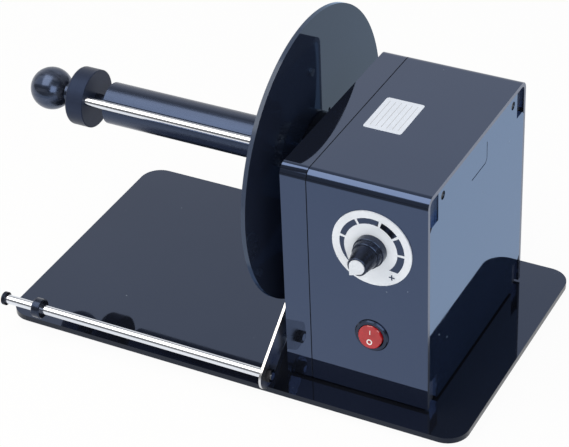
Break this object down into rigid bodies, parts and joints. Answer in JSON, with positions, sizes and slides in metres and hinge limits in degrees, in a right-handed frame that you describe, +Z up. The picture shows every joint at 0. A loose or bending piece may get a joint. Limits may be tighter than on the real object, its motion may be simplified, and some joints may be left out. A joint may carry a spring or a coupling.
{
  "type": "label rewinder",
  "caption": "Motor-driven rewinder that winds a web of labels on a cantilevered mandrel beside a large flange disc, with a dancer arm and guide rod, speed dial and rocker switch.",
  "frame": {"origin": "under the middle of the base plate, on the surface that the rubber feet stand on", "axes": "+X along the spindle from the ball knob towards the housing, +Y from the controls to the back, +Z up"},
  "size_m": [0.3749, 0.229, 0.2167],
  "materials": {
    "black_acrylic": "polished black acrylic sheet",
    "black_plastic": "turned black plastic, satin gloss",
    "knob_plastic": "moulded black plastic",
    "rubber": "soft black rubber",
    "chrome": "bright chrome plate",
    "steel": "bright steel",
    "zinc_screws": "zinc plated",
    "black_screws": "black oxide",
    "aluminium": "milled",
    "brass": "bare",
    "gear_plastic": "natural acetal",
    "pinion_metal": "hobbed steel",
    "dial_white": "white plate, printed",
    "cap_white": "white insert",
    "switch_black": "moulded black plastic",
    "rocker_red": "moulded red plastic",
    "board_green": "printed circuit board",
    "terminal_green": "moulded plastic",
    "sink_black": "black anodised"
  },
  "bodies": {
    "machine": {"angle_brackets": "steel", "arm_bush": "brass", "base_plate": "black_acrylic", "base_screws": "zinc_screws", "board_posts": "brass", "bush_nut": "brass", "control_board": "board_green", "corner_blocks": "black_acrylic", "cover_band": "black_acrylic", "dial_plate": "dial_white", "feet": "rubber", "foot_screws": "zinc_screws", "front_bearing": "steel", "gearbox": "steel", "heat_sink": "sink_black", "inlet_jack": "switch_black", "inlet_nut": "zinc_screws", "inner_plate": "aluminium", "main_cover": "black_acrylic", "motor_can": "steel", "motor_screws": "zinc_screws", "panel_screws": "black_screws", "plate_screws": "zinc_screws", "plate_spacers": "brass", "pot_body": "steel", "pot_nut": "zinc_screws", "rear_bearing": "steel", "side_panel": "black_acrylic", "side_wall": "black_acrylic", "slot_sensor": "switch_black", "stop_pin": "steel", "switch_body": "switch_black", "switch_terminals": "brass", "terminal_block": "terminal_green", "wall_screws": "zinc_screws"},
    "spindle": {"spindle": "steel", "flange_disc": "black_acrylic", "flange_hub": "black_plastic", "hub_screws": "zinc_screws", "shaft_collar": "steel", "mandrel": "black_plastic", "spindle_gear": "gear_plastic"},
    "clamp": {"clamp_rod": "chrome", "core_pin": "black_plastic", "clamp_collar": "black_plastic", "ball_knob": "black_plastic"},
    "motor_output": {"output_shaft": "steel", "pinion": "pinion_metal"},
    "dancer": {"dancer_arm": "steel", "pivot_shaft": "steel", "arm_nut": "zinc_screws", "sensor_flag": "black_plastic", "guide_rod": "chrome", "rod_nut": "zinc_screws", "end_cap": "knob_plastic"},
    "web_ring": {"guide_ring": "knob_plastic"},
    "knob": {"speed_knob": "knob_plastic", "knob_cap": "cap_white", "pot_shaft": "steel"},
    "rocker": {"rocker": "rocker_red"}
  },
  "joints": [
    {"name": "spindle_spin", "type": "hinge", "parent": "machine", "child": "spindle", "pos_m": [0, 0.018, 0.1167], "axis": [1, 0, 0], "continuous": true},
    {"name": "clamp_pull", "type": "slide", "parent": "spindle", "child": "clamp", "axis": [-1, 0, 0], "range_m": [0, 0.11]},
    {"name": "motor_turn", "type": "hinge", "parent": "machine", "child": "motor_output", "pos_m": [0, 0.018, 0.0687], "axis": [1, 0, 0], "continuous": true},
    {"name": "arm_swing", "type": "hinge", "parent": "machine", "child": "dancer", "pos_m": [0, -0.0405, 0.0716], "axis": [-1, 0, 0], "range_deg": [0, 55]},
    {"name": "ring_slide", "type": "slide", "parent": "dancer", "child": "web_ring", "axis": [1, 0, 0], "range_m": [-0.02, 0.13]},
    {"name": "knob_turn", "type": "hinge", "parent": "machine", "child": "knob", "pos_m": [0.1, -0.0792, 0.1268], "axis": [0, 1, 0], "range_deg": [0, 280]},
    {"name": "rocker_tilt", "type": "hinge", "parent": "machine", "child": "rocker", "pos_m": [0.0988, -0.0787, 0.0596], "axis": [1, 0, 0], "range_deg": [0, 16]}
  ],
  "couplings": [
    {"joint": "motor_turn", "follows": "spindle_spin", "ratio": -3}
  ]
}
